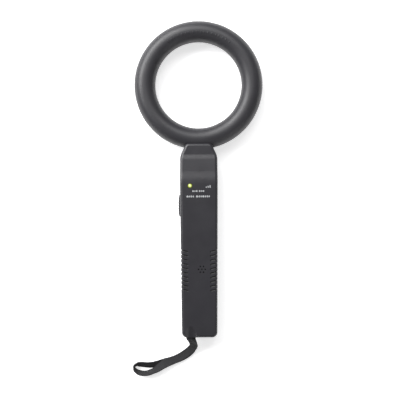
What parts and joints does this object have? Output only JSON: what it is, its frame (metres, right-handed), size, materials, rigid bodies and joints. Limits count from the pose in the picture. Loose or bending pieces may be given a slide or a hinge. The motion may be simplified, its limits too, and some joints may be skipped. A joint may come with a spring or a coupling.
{
  "type": "microchip scanner",
  "caption": "Hand-held ring-antenna scanner: flat ring head on a straight grip with a side push button, status lamp, sound holes, sliding battery door and wrist strap.",
  "frame": {"origin": "under the middle of the scanner's box without its wrist strap, on the plane of the rear face", "axes": "+X to the right of the front face, +Y along the handle towards the ring, +Z out of the front face"},
  "size_m": [0.1451, 0.3924, 0.0311],
  "materials": {
    "shell_plastic": "satin moulded ABS, fine spark texture",
    "button_grey": "satin grey moulding",
    "nylon_white": "natural nylon",
    "switch_black": "matt moulded epoxy",
    "board_green": "solder mask over glass laminate",
    "capacitor_sleeve": "shrink sleeve",
    "resistor_ceramic": "chip components",
    "screw_steel": "bright zinc plate",
    "former_plastic": "natural ABS",
    "enamelled_copper": "enamelled winding wire",
    "tape_yellow": "polyester tape",
    "battery_jacket": "plain printed steel jacket",
    "terminal_nickel": "nickel plate",
    "snap_black": "soft moulded vinyl",
    "foam_grey": "closed-cell foam",
    "wire_red": "PVC insulation",
    "wire_black": "PVC insulation",
    "sounder_can": "pressed can",
    "cloth_black": "open woven dust cloth",
    "webbing": "narrow polyester webbing",
    "led_lens": "clear tinted epoxy, lit"
  },
  "bodies": {
    "scanner": {"ring_front_shell": "shell_plastic", "ring_rear_shell": "shell_plastic", "handle_front_shell": "shell_plastic", "handle_rear_shell": "shell_plastic", "push_switch": "switch_black", "indicator_led": "led_lens", "led_spacer": "nylon_white", "circuit_board": "board_green", "ic_chips": "switch_black", "capacitors": "capacitor_sleeve", "resistors": "resistor_ceramic", "crystal": "screw_steel", "wire_connectors": "nylon_white", "board_screws": "screw_steel", "housing_screws": "screw_steel", "coil_former": "former_plastic", "antenna_coil": "enamelled_copper", "coil_tape": "tape_yellow", "coil_leads": "enamelled_copper", "battery": "battery_jacket", "battery_terminals": "terminal_nickel", "battery_snap": "snap_black", "battery_foam": "foam_grey", "battery_lead_red": "wire_red", "battery_lead_black": "wire_black", "sounder": "sounder_can", "sounder_cloth": "cloth_black", "sounder_leads": "wire_black", "strap_pin": "screw_steel", "strap_loop": "webbing", "strap_return": "webbing"},
    "door": {"battery_door": "shell_plastic"},
    "button": {"button_cap": "button_grey", "switch_plunger": "nylon_white"}
  },
  "joints": [
    {"name": "button_press", "type": "slide", "parent": "scanner", "child": "button", "axis": [1, 0, 0], "range_m": [0, 0.0012], "stiffness_N_per_m": 1500},
    {"name": "door_slide", "type": "slide", "parent": "scanner", "child": "door", "axis": [0, -1, 0], "range_m": [0, 0.008]}
  ]
}
